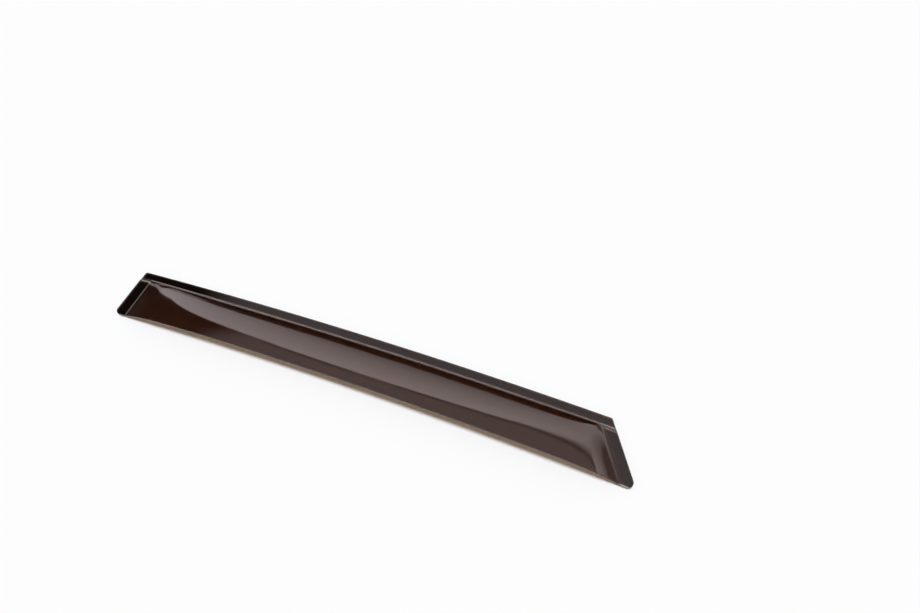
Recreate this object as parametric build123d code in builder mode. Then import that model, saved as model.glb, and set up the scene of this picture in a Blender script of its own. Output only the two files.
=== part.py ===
"""Rear-door window rain deflector: one smoked acrylic sheet on three strips of foam tape.

The sheet is vacuum-formed with a flat bonding flange along its top and both ends, a riser that follows
the top flange, and a gently crowned body whose lower edge stays open. It lies face up: the tape's
underside is the plane Z = 0, X runs along the door from front to rear, and -Y is the open lower edge.
"""
import math
import os

from build123d import *

# Plan of the trimmed sheet, in millimetres
TOP_EDGE = 580.0  # straight distance between the corners of the bonded top edge
FREE_EDGE = 626.0  # distance between the two lower corners, along the top edge's direction
FRONT_LEAN = 5.0  # the lower front corner lies this far ahead of the upper one
FRONT_DEPTH = 61.5  # from the top edge's chord to the lower front corner
REAR_DEPTH = 66.0  # from the top edge's chord to the lower rear corner
TOP_ARCH = 6.0  # rise of the top edge above its chord
FREE_ARCH = 7.0  # rise of the lower edge above its chord
TOP_CORNER_RADIUS = 3.0
FREE_CORNER_RADIUS = 6.0

# Sheet and its section
WALL = 3.0  # sheet thickness, measured straight down
TOP_FLANGE = 9.5  # width of the flange along the top edge
END_FLANGE = 14.5  # width of the flanges at both ends
JOGGLE = 0.8  # the end flanges stand this much higher than the top flange
JOGGLE_RUN = 3.6  # width of the slope between the two flange levels
RISER_RUN = 11.3  # width of the slope that lifts the body off the top flange
RISER_HEIGHT = 4.4  # height of that slope above the end flanges' level
LIP_HEIGHT = 12.2  # height of the open edge above the end flanges' level
FRONT_RISER_RAMP = 55.0  # distance in which the riser gains two thirds of its height behind the front flange
REAR_RISER_RAMP = 24.0  # the same ahead of the rear flange
FRONT_LIP_RAMP = 25.0  # distance in which the open edge gains two thirds of its height, at the front
REAR_LIP_RAMP = 18.0  # the same ahead of the rear flange
ROOT_BEND = 1.5  # size of the bend in which the body leaves the end flanges

# Foam tape under the flanges
TAPE = 1.0  # thickness under the top flange
TOP_TAPE_WIDTH = 6.0
END_TAPE_WIDTH = 9.0
TAPE_INSET = 0.8  # the tape stays this far inside the trimmed edge
TAPE_GAP = 1.5  # clear distance between a tape's end and the joggle

# Levels and positions that follow from the sizes above
FLANGE_TOP = TAPE + WALL
PANEL_TOP = FLANGE_TOP + JOGGLE
REAR_LEAN = FREE_EDGE - TOP_EDGE - FRONT_LEAN
MEAN_LENGTH = (TOP_EDGE + FREE_EDGE) / 2
TRIM_ALLOWANCE = 4.0  # the sheet is formed this much larger than its outline, then trimmed
TRIM_HEIGHT = PANEL_TOP + 2 * LIP_HEIGHT
FOOT_HANDLE = 0.36  # length of the riser curve's lower tangent, as a share of its run
CREST_HANDLE = 0.1  # the same for its upper tangent, where the bend is tighter
RISER_POWER = 1.3  # above 1 the riser grows out of the joggle softly
RAMP_STEPS = (0.0, 0.05, 0.11, 0.2, 0.33, 0.5, 0.75, 1.1, 1.6, 2.3, 3.2, 4.4, 6.0)  # sections, in lip ramps
MIDDLE_SECTIONS = 4


def top_edge_point(share):
    """Point on the arched top edge, at a share of its length from the front corner."""
    return Vector(TOP_EDGE * share, 4 * TOP_ARCH * share * (1 - share))


def free_edge_point(share):
    """Point on the arched lower edge, at a share of its length from the front corner."""
    chord = -FRONT_DEPTH + (FRONT_DEPTH - REAR_DEPTH) * share
    return Vector(FREE_EDGE * share - FRONT_LEAN, chord + 4 * FREE_ARCH * share * (1 - share))


def riser_ramp(distance, length):
    """How far the riser has grown at a distance from the end flange, from 0 to 1."""
    return 1 - math.exp(-((max(distance, 0.0) / length) ** RISER_POWER))


def lip_ramp(distance, length):
    """How far the open edge has risen at a distance from the end flange, from 0 to 1, after a small bend."""
    past_bend = math.hypot(max(distance, 0.0), ROOT_BEND) - ROOT_BEND
    return 1 - math.exp(-past_bend / length)


# Outline that the formed sheet is trimmed to, with its corners rounded
with BuildSketch() as outline:
    with BuildLine():
        ThreePointArc(top_edge_point(0), top_edge_point(0.5), top_edge_point(1))
        Line(top_edge_point(1), free_edge_point(1))
        ThreePointArc(free_edge_point(1), free_edge_point(0.5), free_edge_point(0))
        Line(free_edge_point(0), top_edge_point(0))
    make_face()
    for share in (0, 1):
        fillet(outline.vertices().sort_by_distance(top_edge_point(share))[0], TOP_CORNER_RADIUS)
        fillet(outline.vertices().sort_by_distance(free_edge_point(share))[0], FREE_CORNER_RADIUS)

# The part's origin is under the middle of that outline
MIDDLE = outline.sketch.bounding_box().center()


def plan(level):
    """The plan's plane at a level, moved so that the outline's middle is over the origin."""
    return Plane((-MIDDLE.X, -MIDDLE.Y, level))


def on_sheet(share, depth):
    """Plan point on the cross-line at a share of the length, at a depth square to the top edge's chord."""
    start = top_edge_point(share)
    end = free_edge_point(share)
    return start + (end - start) * (depth / (start.Y - end.Y))


def full_depth(share):
    """Depth of the sheet along the cross-line at a share of the length."""
    return top_edge_point(share).Y - free_edge_point(share).Y


def front_share(width):
    """Share of the length at a distance inside the front end's edge."""
    return width * math.hypot(FRONT_LEAN, FRONT_DEPTH) / FRONT_DEPTH / MEAN_LENGTH


def rear_share(width):
    """Share of the length at a distance inside the rear end's edge."""
    return 1 - width * math.hypot(REAR_LEAN, REAR_DEPTH) / REAR_DEPTH / MEAN_LENGTH


def rise_at(share):
    """Shares of full size at a place along the length: riser width, riser height and open edge height."""
    front = (share - front_share(END_FLANGE)) * MEAN_LENGTH
    rear = (rear_share(END_FLANGE) - share) * MEAN_LENGTH
    front_riser = riser_ramp(front, FRONT_RISER_RAMP)
    riser = front_riser * riser_ramp(rear, REAR_RISER_RAMP)
    lip = lip_ramp(front, FRONT_LIP_RAMP) * lip_ramp(rear, REAR_LIP_RAMP)
    return front_riser * riser, riser, lip  # at the front the riser widens later than it rises


def section(share):
    """Cross-section of the sheet along one cross-line, from the top flange's edge past the open edge."""
    width, riser, lip = rise_at(share)
    start = top_edge_point(share)
    across = free_edge_point(share) - start
    slant = across.length / full_depth(share)
    plane = Plane(start - MIDDLE, x_dir=across, z_dir=across.cross(Vector(0, 0, 1)))

    foot = TOP_FLANGE * slant
    run = (JOGGLE_RUN + (RISER_RUN - JOGGLE_RUN) * width) * slant
    crest = foot + run
    crest_level = PANEL_TOP + RISER_HEIGHT * riser
    lip_level = PANEL_TOP + LIP_HEIGHT * lip
    over = across.length + TRIM_ALLOWANCE
    third = (over - crest) / 3
    crest_slope = 2 * (lip_level - crest_level) / (over - crest)
    riser_curve = [
        Vector(foot, FLANGE_TOP),
        Vector(foot + FOOT_HANDLE * run, FLANGE_TOP),
        Vector(crest - CREST_HANDLE * run, crest_level - CREST_HANDLE * run * crest_slope),
        Vector(crest, crest_level),
    ]
    body_curve = [
        Vector(crest, crest_level),
        Vector(crest + third, crest_level + third * crest_slope),
        Vector(over - third, lip_level),
        Vector(over, lip_level),
    ]
    outer = Vector(-TRIM_ALLOWANCE, FLANGE_TOP)
    down = Vector(0, -WALL)
    with BuildSketch(plane) as sheet_section:
        with BuildLine():
            Polyline(outer + down, outer, riser_curve[0])
            Bezier(*riser_curve)
            Bezier(*body_curve)
            Line(body_curve[-1], body_curve[-1] + down)
            Bezier(*[point + down for point in reversed(body_curve)])
            Bezier(*[point + down for point in reversed(riser_curve)])
            Line(riser_curve[0] + down, outer + down)
        make_face()
    return sheet_section.sketch


# Places of the cross-sections: close together on the end ramps, spread out between them
front_places = [front_share(END_FLANGE + step * FRONT_LIP_RAMP) for step in RAMP_STEPS]
rear_places = [rear_share(END_FLANGE + step * REAR_LIP_RAMP) for step in reversed(RAMP_STEPS)]
spacing = (rear_places[0] - front_places[-1]) / (MIDDLE_SECTIONS + 1)
middle_places = [front_places[-1] + spacing * (index + 1) for index in range(MIDDLE_SECTIONS)]

# The formed sheet: a flat flange at each end and the body lofted between them, trimmed to the outline
with BuildPart() as visor_shield:
    loft([section(front_share(-TRIM_ALLOWANCE)), section(front_places[0])])
    loft([section(share) for share in front_places + middle_places + rear_places])
    loft([section(rear_places[-1]), section(rear_share(-TRIM_ALLOWANCE))])
    with BuildSketch(plan(0)):
        add(outline.sketch)
    extrude(amount=TRIM_HEIGHT, mode=Mode.INTERSECT)
visor_shield.part.label = "visor_shield"

# Plan of all the tape: the outline drawn in by a small inset, with its corners rounded to match
with BuildSketch() as tape_limit:
    add(outline.sketch)
    offset(amount=-TAPE_INSET)

# Tape under the top flange: a strip that follows the arched edge
with BuildPart() as top_tape:
    with BuildSketch(plan(0)):
        add(tape_limit.sketch)
        with BuildLine():
            inner_depth = TAPE_INSET + TOP_TAPE_WIDTH
            outer_arc = ThreePointArc(*[on_sheet(share, -TRIM_ALLOWANCE) for share in (0, 0.5, 1)])
            inner_arc = ThreePointArc(*[on_sheet(share, inner_depth) for share in (0, 0.5, 1)])
            Line(outer_arc @ 0, inner_arc @ 0)
            Line(outer_arc @ 1, inner_arc @ 1)
        make_face(mode=Mode.INTERSECT)
    extrude(amount=TAPE)
top_tape.part.label = "top_tape"


def end_tape(outside, inside):
    """Tape under one end flange, between two cross-lines: thicker, so that it reaches past the joggle."""
    upper = TOP_FLANGE + JOGGLE_RUN + TAPE_GAP
    with BuildPart() as strip:
        with BuildSketch(plan(0)):
            add(tape_limit.sketch)
            with BuildLine():
                Polyline(
                    on_sheet(outside, upper),
                    on_sheet(outside, full_depth(outside) + TRIM_ALLOWANCE),
                    on_sheet(inside, full_depth(inside) + TRIM_ALLOWANCE),
                    on_sheet(inside, upper),
                    close=True,
                )
            make_face(mode=Mode.INTERSECT)
        extrude(amount=TAPE + JOGGLE)
    return strip.part


front_end_tape = end_tape(front_share(-TRIM_ALLOWANCE), front_share(TAPE_INSET + END_TAPE_WIDTH))
front_end_tape.label = "front_end_tape"
rear_end_tape = end_tape(rear_share(-TRIM_ALLOWANCE), rear_share(TAPE_INSET + END_TAPE_WIDTH))
rear_end_tape.label = "rear_end_tape"

os.makedirs("parts", exist_ok=True)
for piece in (visor_shield.part, top_tape.part, front_end_tape, rear_end_tape):
    export_step(piece, f"parts/{piece.label}.step")
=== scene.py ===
"""Looks of a smoked acrylic window rain deflector that lies face up on a pale table.

The formed sheet is worked out with numpy from the same driving sizes as the solid, so that its polished
faces mirror the studio without facets. Everything is in metres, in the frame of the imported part: X runs
along the door from front to rear, -Y is the open lower edge and Z = 0 is the tape's underside.
"""
import math

import bpy
import numpy as np
from mathutils import Matrix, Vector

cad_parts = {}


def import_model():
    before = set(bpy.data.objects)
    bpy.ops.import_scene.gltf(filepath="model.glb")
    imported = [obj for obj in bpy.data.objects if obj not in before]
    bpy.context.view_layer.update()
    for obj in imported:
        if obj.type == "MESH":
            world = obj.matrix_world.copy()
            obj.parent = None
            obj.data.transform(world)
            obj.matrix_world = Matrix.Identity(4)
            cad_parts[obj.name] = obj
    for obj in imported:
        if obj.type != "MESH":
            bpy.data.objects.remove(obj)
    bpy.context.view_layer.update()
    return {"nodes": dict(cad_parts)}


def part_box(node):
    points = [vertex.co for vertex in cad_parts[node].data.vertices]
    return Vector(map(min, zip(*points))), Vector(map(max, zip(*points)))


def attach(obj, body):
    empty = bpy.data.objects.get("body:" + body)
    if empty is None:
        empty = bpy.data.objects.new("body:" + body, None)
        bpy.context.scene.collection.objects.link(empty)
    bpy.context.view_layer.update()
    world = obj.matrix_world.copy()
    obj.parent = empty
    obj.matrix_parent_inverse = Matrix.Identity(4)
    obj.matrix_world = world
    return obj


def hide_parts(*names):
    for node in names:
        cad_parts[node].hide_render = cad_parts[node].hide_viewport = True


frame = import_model()

MM = 0.001

# Plan of the trimmed sheet
TOP_EDGE = 580.0 * MM
FREE_EDGE = 626.0 * MM
FRONT_LEAN = 5.0 * MM
FRONT_DEPTH = 61.5 * MM
REAR_DEPTH = 66.0 * MM
TOP_ARCH = 6.0 * MM
FREE_ARCH = 7.0 * MM
TOP_CORNER_RADIUS = 3.0 * MM
FREE_CORNER_RADIUS = 6.0 * MM

# Section of the formed sheet
WALL = 3.0 * MM
TAPE = 1.0 * MM
TOP_FLANGE = 9.5 * MM
END_FLANGE = 14.5 * MM
JOGGLE = 0.8 * MM
JOGGLE_RUN = 3.6 * MM
RISER_RUN = 11.3 * MM
RISER_HEIGHT = 4.4 * MM
LIP_HEIGHT = 12.2 * MM
FRONT_RISER_RAMP = 55.0 * MM
REAR_RISER_RAMP = 24.0 * MM
FRONT_LIP_RAMP = 25.0 * MM
REAR_LIP_RAMP = 18.0 * MM
ROOT_BEND = 1.5 * MM
TRIM_ALLOWANCE = 4.0 * MM
FOOT_HANDLE = 0.36
CREST_HANDLE = 0.1
RISER_POWER = 1.3
CREST_DIP = 0.55 * MM  # the crest dips a little where it starts behind the front flange
CREST_DIP_PLACES = (3.0 * MM, 6.0 * MM, 40.0 * MM)  # full from the first to the second, gone at the third
CREST_DIP_REACH = 3.5 * MM  # distance in which the body leaves the dip
EDGE_ROUND = 0.4 * MM  # the cut edge is eased by this radius
BOND_GAP = 0.05 * MM  # keeps the sheet's underside just clear of the tape

# Painted highlights: pale lines along the tight bends and edges stand in for mirrored light; their
# strengths from 0 to 1, and their places
HIGHLIGHT_WIDTH = 0.42 * MM  # half width of a painted highlight line
FRONT_ROOT_LINE = 0.5
REAR_ROOT_LINE = 0.45
FRONT_JOGGLE_LINE = 0.25
REAR_JOGGLE_LINE = 0.62
JOGGLE_LINE_PLACE = (-0.42 * MM, 0.6 * MM)  # past the joggle's edges, at the front and at the rear
FOOT_LINE = (0.9, 0.4)  # along the foot of the riser: at the front end, and farther back
FOOT_LINE_PLACE = (-0.6 * MM, 0.7 * MM)  # past the flange's edge, at the same places
FOOT_LINE_FADE = 200.0 * MM  # distance between the two
FOOT_LINE_WIDTH = 0.34 * MM
CORNER_HIGHLIGHT = 0.42  # painted highlight on a short line that leaves the front corner of the crest
CORNER_HIGHLIGHT_SLOPE = 0.3  # its drop down the body per distance along it
CORNER_HIGHLIGHT_WIDTH = 1.0 * MM
CORNER_HIGHLIGHT_FADE = (-0.5 * MM, 1.0 * MM, 6.0 * MM, 11.0 * MM)  # it starts, is full, fades and ends here
EDGE_HIGHLIGHT = 0.9  # painted highlight on the rear flange's lower edge
RIM_LINES = (1.0, 0.7, 0.1, 0.1, 0.7, 1.0)  # share of a painted highlight line that each step of the cut edge keeps

# Grid of the sheet
ROOT_ZONE = (-1.0 * MM, 2.0 * MM, 6.0 * MM)  # start, middle and end of the finer steps about the root bend
RAMP_ZONE = (2.4, 6.0)  # ends of the two zones behind it, in lip ramps
RAMP_GRADE = 1.2
END_STEPS = (9, 14, 10, 24, 18)  # on the flange, in the root zone's halves and in the ramp's two zones
MIDDLE_STEPS = 66
FOOT_ZONE = 1.5 * MM  # finer steps just before the foot of the riser
CORNER_GRADE = 2.0
FLANGE_STEPS = (7, 5, 6)  # beside the rounded corners, on the flange and before the foot
RISER_STEPS = 30
BODY_STEPS = 48
LIP_STEPS = 12
RIM_TURN = (30, 60, 90)  # degrees along the cut edge's quarter rounds

# Values that follow
FLANGE_TOP = TAPE + WALL
REAR_LEAN = FREE_EDGE - TOP_EDGE - FRONT_LEAN
MEAN_LENGTH = (TOP_EDGE + FREE_EDGE) / 2
FRONT_SLANT = math.hypot(FRONT_LEAN, FRONT_DEPTH) / FRONT_DEPTH
REAR_SLANT = math.hypot(REAR_LEAN, REAR_DEPTH) / REAR_DEPTH

# Smoked acrylic
ACRYLIC_INDEX = 1.49
MIRROR_TINT = (1.0, 0.85, 0.84, 1)
SHEET_COLOUR = (0.40, 0.31, 0.25, 1)
PAINTED_HIGHLIGHT_COLOUR = (0.80, 0.73, 0.70, 1)  # painted highlight colour of the pale lines along the tight bends and edges
CLEARNESS = (1.0, 0.2)  # of the sheet, and under the painted highlight lines
POLISH = (0.025, 0.22)  # roughness of the faces, and of the cut edge
WIPE_SCALE = (14.0, 170.0, 60.0)  # faint streaks from wiping, drawn out along the sheet
WIPE_TURN = (0, 0, 0.05)
WIPE_DETAIL = 4.0
WIPE_NOISE = (0.45, 0.75)  # noise at which a streak starts, and at which it is full
WIPE_DULLING = 0.09
SMOKE_COLOUR = (0.43, 0.21, 0.02, 1)
SMOKE_DENSITY = 640.0

# Foam tape
FOAM_CELLS = 2200.0  # per metre
FOAM_BUMP = 0.35
FOAM_BUMP_DEPTH = 0.0002
FOAM_SHADES = ((0.012, 0.012, 0.013, 1), (0.03, 0.03, 0.031, 1))
FOAM_ROUGHNESS = 0.9
FOAM_SHINE = 0.25

# Studio: a soft lamp overhead, white surroundings, and panels that only polished faces mirror
FLOOR_HALF = 20.0
FLOOR_COLOUR = (0.95, 0.95, 0.95, 1)
SKY_LIGHT = 0.27  # the surroundings as light on matt things
SKY_COLOUR = (1.0, 0.9, 0.7, 1)
WHITE = (1, 1, 1, 1)
LAMP_STRENGTH = 2.66
LAMP_COLOUR = (0.903, 0.936, 1.0)
LAMP_SPREAD = math.radians(17.0)
LAMP_LEAN = math.radians(3.0)  # it stands a little behind the object
CEILING = 1.0  # level of the mirrored panels
PANEL_SPAN = (-2.1, 1.9)
PANEL_BEND = (-0.42, 0.63, 0.6, 0.74)  # vertex of the near edge and the two sizes of its hyperbola
PANEL_LIMITS = (1.12, 0.76)  # the near edge goes no farther back than this at the left and at the right
PANEL_DROPS = ((-1.85, -2.1, -1.1), (0.71, 0.95, 1.3))  # the edge drops by the third between the first two
PANEL_RADIUS = 3.0
PANEL_RIM = (0.05, 0.6)  # width and glow of a darker rim before the near edge
PANEL_BLUR = ((0.0, 0.65), (0.05, 0.32))  # places, and how softly the near edge starts there
PANEL_GLOW = (4.0, 1.3, 0.95)  # at the near edge, farther back, and the distance between the two
PANEL_STEPS = (180, 60)  # along the panel, and back from its near edge
WING_FADE = (0.6, 1.5, 0.45)  # the glow's loss towards the right
FRONT_START = (-3.2, -1.5)  # left end and near edge of the front panel
FRONT_STEPS = 120
FRONT_PLACES = (-0.92, -0.79, -0.5)  # it is dark up to the first of these
FRONT_GLOW = (0.06, 1.0, 1.15)
HORIZON_RADIUS = 2.0
HORIZON_TURN = (-140, 75)
HORIZON_STEPS = 90
HORIZON_TOP = (26.0, 21.0)  # angles up to the dark horizon's top, at the back and towards the left
HORIZON_FALL = (-30, -42)  # turns between which the top goes from the first angle to the second
HORIZON_TURNS = (-66, -56, 32, 42)
HORIZON_GLOW = (0.1, 0.02, 0.02, 0.5)  # at those turns
HORIZON_BASE = (4.0, 7.0, 0.05)  # a faint band fades out between these angles

# Camera of the photograph
CAMERA_PLACE = (0.2603, -0.2473, 0.6910)
CAMERA_HEADING = math.radians(27.42)  # turned from +Y towards -X
CAMERA_TILT = math.radians(60.0)  # below the horizon
CAMERA_ROLL = math.radians(8.0)
SENSOR = 36.0
LENS = 27.065
CLIP_START = 0.01


def riser_ramp(distance, length):
    """Share of the riser at a distance from the end flange: one less a stretched exponential."""
    return 1 - np.exp(-((np.maximum(distance, 0) / length) ** RISER_POWER))


def lip_ramp(distance, length):
    """Share of the open edge's height at a distance from the end flange.

    One less an exponential of the distance, which a hyperbola eases in over a small bend.
    """
    past_bend = np.hypot(np.maximum(distance, 0), ROOT_BEND) - ROOT_BEND
    return 1 - np.exp(-past_bend / length)


def smooth_step(value, start, end):
    """From 0 at start to 1 at end, level at both: a cubic."""
    share = np.clip((value - start) / (end - start), 0, 1)
    return share**2 * (3 - 2 * share)


def stroke(distance, width=HIGHLIGHT_WIDTH):
    """Strength of a fine line at a distance from its middle: a Gaussian."""
    return np.exp(-((distance / width) ** 2))


def bezier(a, b, c, d, t):
    """Cubic Bezier with control values a, b, c and d."""
    return a * (1 - t) ** 3 + 3 * b * t * (1 - t) ** 2 + 3 * c * t**2 * (1 - t) + d * t**3


def graded(start, end, count, power=1.0):
    """Steps from start up to but without end, closer together near start where power is above 1."""
    return start + (end - start) * (np.arange(count) / count) ** power


def corner_recess(height, radius, angle):
    """Draw-back of a rounded corner from its sharp end edge, at a height above the edge it turns from.

    The arc touches both edges. Its centre is one radius above the edge and one tangent length along it.
    """
    tangent = radius / math.tan(angle / 2)
    inside = np.clip(height, 0, None)
    arc = -tangent + np.sqrt(np.clip(radius**2 - (inside - radius) ** 2, 0, None))
    return np.where(inside < tangent * math.sin(angle), -inside / math.tan(angle) - arc, 0)


def end_stations(lip_length):
    """Distances from one end's edge: even on the flange, close at the root bend, wider on the body."""
    near, past, body = (END_FLANGE + place for place in ROOT_ZONE)
    ramp, far = (END_FLANGE + place * lip_length for place in RAMP_ZONE)
    flange_steps, near_steps, past_steps, ramp_steps, far_steps = END_STEPS
    return np.concatenate(
        [
            graded(EDGE_ROUND, near, flange_steps),
            graded(near, past, near_steps),
            graded(past, body, past_steps),
            graded(body, ramp, ramp_steps, RAMP_GRADE),
            graded(ramp, far, far_steps),
        ]
    )


def stations():
    """Shares of the length at which the grid has a cross-line."""
    first = end_stations(FRONT_LIP_RAMP) * FRONT_SLANT / MEAN_LENGTH
    last = 1 - end_stations(REAR_LIP_RAMP)[::-1] * REAR_SLANT / MEAN_LENGTH
    return np.concatenate([first, np.linspace(first[-1], last[0], MIDDLE_STEPS)[1:-1], last])


def section_rows():
    """Places down a section: distance on the flange, then shares of riser, body and lip zone."""
    before_foot = TOP_FLANGE - FOOT_ZONE
    corner_steps, flat_steps, foot_steps = FLANGE_STEPS
    flange = np.concatenate(
        [
            graded(EDGE_ROUND, TOP_CORNER_RADIUS, corner_steps, CORNER_GRADE),
            graded(TOP_CORNER_RADIUS, before_foot, flat_steps),
            graded(before_foot, TOP_FLANGE, foot_steps),
        ]
    )
    riser = graded(0, 1, RISER_STEPS)
    body = graded(0, 1, BODY_STEPS)
    lip = 1 - np.linspace(1, 0, LIP_STEPS) ** 2
    before = np.zeros_like
    after = np.ones_like
    past_flange = np.concatenate([after(riser), after(body), after(lip)])
    return (
        np.concatenate([flange, TOP_FLANGE * past_flange]),
        np.concatenate([before(flange), riser, after(body), after(lip)]),
        np.concatenate([before(flange), before(riser), body, after(lip)]),
        np.concatenate([before(flange), before(riser), before(body), lip]),
    )


def cross_line(share):
    """The cross-line at a share of the length: X and Y of its upper end, its lean and its depth.

    Both long edges are parabolas, and the line joins them at the same share.
    """
    top_y = 4 * TOP_ARCH * share * (1 - share)
    free_y = -FRONT_DEPTH + (FRONT_DEPTH - REAR_DEPTH) * share + 4 * FREE_ARCH * share * (1 - share)
    return TOP_EDGE * share, top_y, (FREE_EDGE - TOP_EDGE) * share - FRONT_LEAN, top_y - free_y


def crest_dip(front, down, crest):
    """Depth of the dip at the crest's front end.

    Smooth steps lead into it along the crest and down the riser, and an exponential out of it on the body.
    """
    full, fading, gone = CREST_DIP_PLACES
    dip = CREST_DIP * smooth_step(front, 0, full) * smooth_step(front, gone, fading)
    dip = dip * smooth_step(down, TOP_FLANGE, crest)
    return dip * np.exp(-np.maximum(down - crest, 0) / CREST_DIP_REACH)


def painted_highlight_lines(front, rear, down, depth, crest, along, riser_at):
    """How strongly the painted highlight lines show at each point: a Gaussian across every line.

    The pale lines are painted highlights that stand in for mirrored light. They run along the roots of the
    end flanges, both edges of the joggles, the foot of the riser, a short line down from the crest's front
    end and the rear flange's lower edge.
    """
    on_front = np.clip(-front / MM, 0, 1)
    on_rear = np.clip(-rear / MM, 0, 1)
    roots = FRONT_ROOT_LINE * stroke(front) + REAR_ROOT_LINE * stroke(rear) * (1 - along)
    past_edge = down - np.where(on_rear > 0, *JOGGLE_LINE_PLACE[::-1])
    joggles = stroke(past_edge - TOP_FLANGE) + stroke(past_edge - crest)
    foot = (1 - on_front - on_rear) * np.interp(front, (0, FOOT_LINE_FADE), FOOT_LINE)
    foot_place = TOP_FLANGE + np.interp(front, (0, FOOT_LINE_FADE), FOOT_LINE_PLACE)
    corner_highlight = CORNER_HIGHLIGHT * np.interp(front, CORNER_HIGHLIGHT_FADE, (0, 1, 1, 0))
    line = roots * riser_at + (FRONT_JOGGLE_LINE * on_front + REAR_JOGGLE_LINE * on_rear) * joggles
    line = line + foot * stroke(down - foot_place, FOOT_LINE_WIDTH)
    line = line + corner_highlight * stroke(down - crest - CORNER_HIGHLIGHT_SLOPE * front, CORNER_HIGHLIGHT_WIDTH)
    return line + EDGE_HIGHLIGHT * on_rear * stroke(depth - EDGE_ROUND - down)


def section(share):
    """Every row's depth and level on the cross-lines, the full depth, and the strength of the painted
    highlight lines.

    The section is a flat flange, a Bezier riser and a parabola that is level just past the lip, less the
    dip at the front end of the crest.
    """
    _, _, lean, depth = cross_line(share)
    front = share * MEAN_LENGTH - END_FLANGE * FRONT_SLANT
    rear = (1 - share) * MEAN_LENGTH - END_FLANGE * REAR_SLANT
    front_riser = riser_ramp(front, FRONT_RISER_RAMP)
    riser = front_riser * riser_ramp(rear, REAR_RISER_RAMP)
    lip = lip_ramp(front, FRONT_LIP_RAMP) * lip_ramp(rear, REAR_LIP_RAMP)
    flange_at, riser_at, body_at, lip_at = section_rows()

    run = JOGGLE_RUN + (RISER_RUN - JOGGLE_RUN) * front_riser * riser
    crest = TOP_FLANGE + run
    climb = JOGGLE + RISER_HEIGHT * riser
    swell = JOGGLE + LIP_HEIGHT * lip - climb
    past = depth + TRIM_ALLOWANCE * depth / np.hypot(lean, depth)
    slope = 2 * swell / (past - crest)
    turn = depth - 2 * FREE_CORNER_RADIUS
    down = flange_at + run * bezier(0, FOOT_HANDLE, 1 - CREST_HANDLE, 1, riser_at)
    down = down + (turn - crest) * body_at + (depth - EDGE_ROUND - turn) * lip_at
    along = np.clip((down - crest) / (past - crest), 0, 1)
    level = FLANGE_TOP + bezier(0, 0, climb - CREST_HANDLE * run * slope, climb, riser_at)
    level = level + swell * along * (2 - along)
    level = level - crest_dip(front, down, crest)
    return down, level, depth, painted_highlight_lines(front, rear, down, depth, crest, along, riser_at)


def end_recess(distance, down, depth, end):
    """Draw-in of the grid along the rounded corners of one end, fading out evenly across its flange."""
    lean = (FRONT_LEAN, REAR_LEAN)[end]
    full = (FRONT_DEPTH, REAR_DEPTH)[end]
    open_angle = math.atan2(full, -lean)
    free_angle = math.pi - open_angle
    upper = corner_recess(down - EDGE_ROUND, TOP_CORNER_RADIUS - EDGE_ROUND, open_angle)
    lower = corner_recess(depth - EDGE_ROUND - down, FREE_CORNER_RADIUS - EDGE_ROUND, free_angle)
    return (upper + lower) * np.clip(1 - distance / END_FLANGE, 0, 1)


def plan_middle():
    """Place of the part's origin in the outline's own plan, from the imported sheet's box.

    The lower front corner reaches farthest ahead on its rounding, and the top edge farthest up on its arch.
    """
    low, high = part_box("visor_shield")
    angle = math.atan2(FRONT_DEPTH, FRONT_LEAN)
    tangent = FREE_CORNER_RADIUS / math.tan(angle / 2)
    return tangent - FREE_CORNER_RADIUS - FRONT_LEAN - low.x, TOP_ARCH - high.y


def upper_face():
    """Grid of the sheet's upper face as points and painted highlight lines: share of the length by run down
    the section.

    Each cross-line joins the two arched long edges at one share of their length. At the ends the shares
    draw back along the rounded corners, and the section is taken again at the shares that result.
    """
    share = stations()[:, None]
    down, _, depth, _ = section(share)
    length = TOP_EDGE + (FREE_EDGE - TOP_EDGE) * down / depth
    front = end_recess((share - share[0]) * MEAN_LENGTH, down, depth, 0)
    rear = end_recess((share[-1] - share) * MEAN_LENGTH, down, depth, 1)
    share = share + (front - rear) / length
    down, level, _, line = section(share)
    x, y, lean, depth = cross_line(share)
    middle = plan_middle()
    return np.stack([x + lean * down / depth - middle[0], y - down - middle[1], level], -1), line


def rim_profile():
    """The cut edge as steps outward and down: a quarter round, the flat edge and a second quarter round."""
    turn = np.radians(RIM_TURN)
    out = EDGE_ROUND * np.sin(turn)
    down = EDGE_ROUND * (1 - np.cos(turn))
    return np.concatenate([out, out[::-1]]), np.concatenate([down, WALL - BOND_GAP - down[::-1]])


def grid_faces(index):
    """Quads of a grid of point numbers."""
    return np.stack([index[:-1, :-1], index[:-1, 1:], index[1:, 1:], index[1:, :-1]], -1).reshape(-1, 4)


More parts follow.
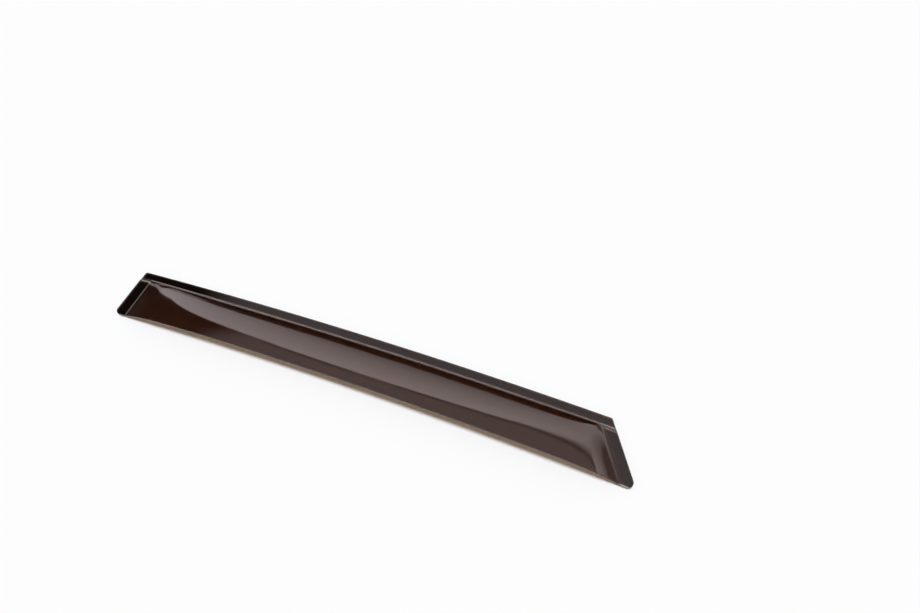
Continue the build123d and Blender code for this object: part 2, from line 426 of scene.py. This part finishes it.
def formed_sheet():
    """Closed surface of the sheet: upper grid, the same grid a wall lower, and the rim round both.

    Returns the points, the quads, and at each point whether it is on the cut edge and how strong a painted
    highlight line is.
    """
    upper, line = upper_face()
    lower = upper - np.array([0, 0, WALL - BOND_GAP])
    rows, columns = upper.shape[:2]
    count = rows * columns
    index = np.arange(count).reshape(rows, columns)
    loop = np.concatenate([index[:-1, 0], index[-1, :-1], index[:0:-1, -1], index[0, :0:-1]])
    edge = upper.reshape(-1, 3)[loop]
    along = np.roll(edge, -1, 0) - np.roll(edge, 1, 0)
    along /= np.linalg.norm(along[:, :2], axis=1)[:, None]
    outward = np.stack([-along[:, 1], along[:, 0], 0 * along[:, 0]], 1)
    out, down = rim_profile()
    rings = edge + outward * out[:, None, None] - np.array([0, 0, 1]) * down[:, None, None]
    points = np.concatenate([upper.reshape(-1, 3), lower.reshape(-1, 3), rings.reshape(-1, 3)])

    ring_index = 2 * count + np.arange(len(out) * len(loop)).reshape(len(out), -1)
    chain = np.concatenate([loop[None], ring_index, loop[None] + count])
    closed = np.concatenate([chain, chain[:, :1]], 1)
    top = grid_faces(index)
    faces = np.concatenate([top, top[:, ::-1] + count, grid_faces(closed)])
    cut = np.repeat([0.0, 1.0], [2 * count, len(out) * len(loop)])
    rim_line = line.ravel()[loop] * np.array(RIM_LINES)[:, None]
    return points, faces, cut, np.concatenate([line.ravel(), 0 * line.ravel(), rim_line.ravel()])


def mesh_piece(name, points, faces, material):
    """Object of a quad mesh at the origin, smooth shaded."""
    mesh = bpy.data.meshes.new(name)
    mesh.from_pydata(points.tolist(), [], faces.tolist())
    mesh.polygons.foreach_set("use_smooth", np.ones(len(faces), bool))
    mesh.materials.append(material)
    mesh.update()
    piece = bpy.data.objects.new(name, mesh)
    bpy.context.scene.collection.objects.link(piece)
    return piece


def point_values(piece, name, values):
    """A number at each point of a piece, for its material."""
    attribute = piece.data.attributes.new(name, "FLOAT", "POINT")
    attribute.data.foreach_set("value", np.asarray(values, np.float32).ravel())


def node_material(name):
    """Empty node material, with a function that adds its nodes, one that links them, and its output."""
    material = bpy.data.materials.new(name)
    material.use_nodes = True
    tree = material.node_tree
    tree.nodes.clear()
    return material, tree.nodes.new, tree.links.new, tree.nodes.new("ShaderNodeOutputMaterial")


def smoked_acrylic():
    """Polished brown acrylic: tinted glass that absorbs light on its way through.

    It carries painted highlights as pale, less clear lines along its tight bends and edges, is duller on
    its cut edge, and is faintly streaked from wiping.
    """
    material, add, link, output = node_material("smoked_acrylic")
    shader = add("ShaderNodeBsdfPrincipled")
    shader.inputs["IOR"].default_value = ACRYLIC_INDEX
    shader.inputs["Specular Tint"].default_value = MIRROR_TINT
    link(shader.outputs["BSDF"], output.inputs["Surface"])
    # Painted highlights: the line strength mixes in the pale colour and lowers the clearness
    line = add("ShaderNodeAttribute")
    line.attribute_name = "painted_highlight_strength"
    colour = add("ShaderNodeMix")
    colour.data_type = "RGBA"
    colour.inputs["A"].default_value = SHEET_COLOUR
    colour.inputs["B"].default_value = PAINTED_HIGHLIGHT_COLOUR
    link(line.outputs["Fac"], colour.inputs["Factor"])
    link(colour.outputs["Result"], shader.inputs["Base Color"])
    clear = add("ShaderNodeMapRange")
    clear.inputs["To Min"].default_value, clear.inputs["To Max"].default_value = CLEARNESS
    link(line.outputs["Fac"], clear.inputs["Value"])
    link(clear.outputs["Result"], shader.inputs["Transmission Weight"])
    edge = add("ShaderNodeAttribute")
    edge.attribute_name = "cut_edge"
    polish = add("ShaderNodeMapRange")
    polish.inputs["To Min"].default_value, polish.inputs["To Max"].default_value = POLISH
    link(edge.outputs["Fac"], polish.inputs["Value"])
    place = add("ShaderNodeTexCoord")
    stretch = add("ShaderNodeMapping")
    stretch.inputs["Scale"].default_value = WIPE_SCALE
    stretch.inputs["Rotation"].default_value = WIPE_TURN
    link(place.outputs["Object"], stretch.inputs["Vector"])
    streaks = add("ShaderNodeTexNoise")
    streaks.inputs["Scale"].default_value = 1.0
    streaks.inputs["Detail"].default_value = WIPE_DETAIL
    link(stretch.outputs["Vector"], streaks.inputs["Vector"])
    wiped = add("ShaderNodeMapRange")
    wiped.inputs["From Min"].default_value, wiped.inputs["From Max"].default_value = WIPE_NOISE
    wiped.inputs["To Max"].default_value = WIPE_DULLING
    link(streaks.outputs["Fac"], wiped.inputs["Value"])
    dulled = add("ShaderNodeMath")
    link(polish.outputs["Result"], dulled.inputs[0])
    link(wiped.outputs["Result"], dulled.inputs[1])
    link(dulled.outputs["Value"], shader.inputs["Roughness"])
    smoke = add("ShaderNodeVolumeAbsorption")
    smoke.inputs["Color"].default_value = SMOKE_COLOUR
    smoke.inputs["Density"].default_value = SMOKE_DENSITY
    link(smoke.outputs["Volume"], output.inputs["Volume"])
    return material


def foam_tape():
    """Matt black foam: fine cells as bump and a faint grey mottle."""
    material, add, link, output = node_material("foam_tape")
    place = add("ShaderNodeTexCoord")
    cells = add("ShaderNodeTexVoronoi")
    cells.inputs["Scale"].default_value = FOAM_CELLS
    link(place.outputs["Object"], cells.inputs["Vector"])
    bump = add("ShaderNodeBump")
    bump.inputs["Strength"].default_value = FOAM_BUMP
    bump.inputs["Distance"].default_value = FOAM_BUMP_DEPTH
    link(cells.outputs["Distance"], bump.inputs["Height"])
    shade = add("ShaderNodeValToRGB")
    for element, colour in zip(shade.color_ramp.elements, FOAM_SHADES):
        element.color = colour
    link(cells.outputs["Distance"], shade.inputs["Fac"])
    shader = add("ShaderNodeBsdfPrincipled")
    shader.inputs["Roughness"].default_value = FOAM_ROUGHNESS
    shader.inputs["Specular IOR Level"].default_value = FOAM_SHINE
    link(shade.outputs["Color"], shader.inputs["Base Color"])
    link(bump.outputs["Normal"], shader.inputs["Normal"])
    link(shader.outputs["BSDF"], output.inputs["Surface"])
    return material


def visor():
    """The smoked sheet, standing for the solid of the same form."""
    points, faces, cut, line = formed_sheet()
    sheet = mesh_piece("smoked_visor", points, faces, smoked_acrylic())
    point_values(sheet, "cut_edge", cut)
    # strength of the painted highlight lines at each point
    point_values(sheet, "painted_highlight_strength", line)
    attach(sheet, "root")
    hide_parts("visor_shield")


def tapes():
    """The three foam strips keep their solids and get the foam finish."""
    foam = foam_tape()
    for name in ("top_tape", "front_end_tape", "rear_end_tape"):
        mesh = frame["nodes"][name].data
        mesh.materials.clear()
        mesh.materials.append(foam)


def stage_piece(name, grid, material):
    """A surface of the studio, from a grid of points."""
    index = np.arange(grid[..., 0].size).reshape(grid.shape[:2])
    piece = mesh_piece(name, grid.reshape(-1, 3), grid_faces(index), material)
    return piece


def mirrored_panel(name, x, y, z, glow):
    """A surface that is seen in mirror images only: no lamp for matt things and no shadow."""
    material, add, link, output = node_material(name)
    strength = add("ShaderNodeAttribute")
    strength.attribute_name = "glow"
    shader = add("ShaderNodeEmission")
    link(strength.outputs["Fac"], shader.inputs["Strength"])
    link(shader.outputs["Emission"], output.inputs["Surface"])
    x, y, z, glow = np.broadcast_arrays(x, y, z, glow)
    panel = stage_piece(name, np.stack([x, y, z], -1), material)
    point_values(panel, "glow", glow)
    panel.visible_camera = False
    panel.visible_diffuse = False
    panel.visible_transmission = False
    panel.visible_shadow = False


def panel_edge(x):
    """Near edge of the bright panel: a hyperbola cut off level, less smooth drops.

    The drops draw it back at the far left and forwards at the right.
    """
    x0, y0, size, width = PANEL_BEND
    edge = y0 + size * (np.sqrt(1 + ((x - x0) / width) ** 2) - 1)
    edge = np.minimum(edge, np.where(x < x0, *PANEL_LIMITS))
    return edge - sum(drop * smooth_step(x, start, end) for start, end, drop in PANEL_DROPS)


def studio():
    """What the polished faces mirror.

    A bright panel at the back with a soft near edge and a round far one, a panel before it that is dark at
    the left, and a dark horizon: a band of a cylinder whose top falls towards the left.
    """
    panel_steps, reach_steps = PANEL_STEPS
    reach = np.linspace(0, 1, reach_steps)[None]
    x = np.linspace(*PANEL_SPAN, panel_steps)[:, None]
    edge = panel_edge(x)
    rim, rim_glow = PANEL_RIM
    y = edge - rim + (np.sqrt(PANEL_RADIUS**2 - x**2) - edge + rim) * reach**2
    near, far, fade = PANEL_GLOW
    start, end, loss = WING_FADE
    inner = np.interp(y - np.maximum(edge, PANEL_BEND[1]), (0, fade), (near, far))
    inner = inner * (1 - loss * np.clip((x - start) / (end - start), 0, 1))
    outer = np.interp(edge - y, (rim / 2, rim), (rim_glow, 1))
    outer = np.minimum(outer, np.interp(x, FRONT_PLACES, FRONT_GLOW))
    glow = outer + (inner - outer) * smooth_step(y, edge, edge + np.interp(x, *PANEL_BLUR))
    mirrored_panel("back_panel", x, y, CEILING, glow)

    left, near = FRONT_START
    x = np.linspace(left, PANEL_SPAN[1], FRONT_STEPS)[:, None]
    y = near + (panel_edge(x) - rim - near) * reach
    mirrored_panel("front_panel", x, y, CEILING, np.interp(x, FRONT_PLACES, FRONT_GLOW))

    turn = np.linspace(*HORIZON_TURN, HORIZON_STEPS)[:, None]
    back, left = HORIZON_TOP
    rise = (back + (left - back) * smooth_step(turn, *HORIZON_FALL)) * reach
    low, high, faint = HORIZON_BASE
    glow = np.interp(turn, HORIZON_TURNS, HORIZON_GLOW) + faint * smooth_step(rise, high, low)
    x = HORIZON_RADIUS * np.sin(np.radians(turn))
    y = HORIZON_RADIUS * np.cos(np.radians(turn))
    mirrored_panel("low_horizon", x, y, HORIZON_RADIUS * np.tan(np.radians(rise)), glow)


def floor():
    """Wide pale table top."""
    material, add, link, output = node_material("pale_table")
    shader = add("ShaderNodeBsdfDiffuse")
    shader.inputs["Color"].default_value = FLOOR_COLOUR
    link(shader.outputs["BSDF"], output.inputs["Surface"])
    side = np.array([-FLOOR_HALF, 0, FLOOR_HALF])
    x, y = np.meshgrid(side, side, indexing="ij")
    stage_piece("table_top", np.stack([x, y, 0 * x], -1), material)


def lamp():
    """Wide soft lamp overhead, a little cool and kept out of the mirror images."""
    data = bpy.data.lights.new("overhead_lamp", "SUN")
    data.energy = LAMP_STRENGTH
    data.color = LAMP_COLOUR
    data.angle = LAMP_SPREAD
    overhead = bpy.data.objects.new("overhead_lamp", data)
    overhead.rotation_euler.x = -LAMP_LEAN
    bpy.context.scene.collection.objects.link(overhead)
    overhead.visible_glossy = False


def world():
    """White surroundings to look at and to mirror, and a weaker, warmer light on matt things."""
    surroundings = bpy.data.worlds.new("white_studio")
    surroundings.use_nodes = True
    tree = surroundings.node_tree
    path = tree.nodes.new("ShaderNodeLightPath")
    mirrored = tree.nodes.new("ShaderNodeMath")
    tree.links.new(path.outputs["Is Camera Ray"], mirrored.inputs[0])
    tree.links.new(path.outputs["Is Glossy Ray"], mirrored.inputs[1])
    seen = tree.nodes.new("ShaderNodeMath")
    seen.use_clamp = True
    tree.links.new(mirrored.outputs[0], seen.inputs[0])
    tree.links.new(path.outputs["Is Transmission Ray"], seen.inputs[1])
    strength = tree.nodes.new("ShaderNodeMapRange")
    strength.inputs["To Min"].default_value = SKY_LIGHT
    tree.links.new(seen.outputs[0], strength.inputs["Value"])
    colour = tree.nodes.new("ShaderNodeMix")
    colour.data_type = "RGBA"
    colour.inputs["A"].default_value = SKY_COLOUR
    colour.inputs["B"].default_value = WHITE
    tree.links.new(seen.outputs[0], colour.inputs["Factor"])
    background = tree.nodes["Background"]
    tree.links.new(colour.outputs["Result"], background.inputs["Color"])
    tree.links.new(strength.outputs["Result"], background.inputs["Strength"])
    bpy.context.scene.world = surroundings


def camera():
    """The photograph's camera: heading, then tilt, then roll about its own axis."""
    data = bpy.data.cameras.new("photo_camera")
    data.sensor_width = SENSOR
    data.lens = LENS
    data.clip_start = CLIP_START
    eye = bpy.data.objects.new("photo_camera", data)
    bpy.context.scene.collection.objects.link(eye)
    turn = (
        Matrix.Rotation(CAMERA_HEADING, 4, "Z")
        @ Matrix.Rotation(math.pi / 2 - CAMERA_TILT, 4, "X")
        @ Matrix.Rotation(-CAMERA_ROLL, 4, "Z")
    )
    eye.matrix_world = Matrix.Translation(CAMERA_PLACE) @ turn
    bpy.context.scene.camera = eye


bpy.context.scene.view_settings.view_transform = "Standard"
visor()
tapes()
floor()
studio()
lamp()
world()
camera()
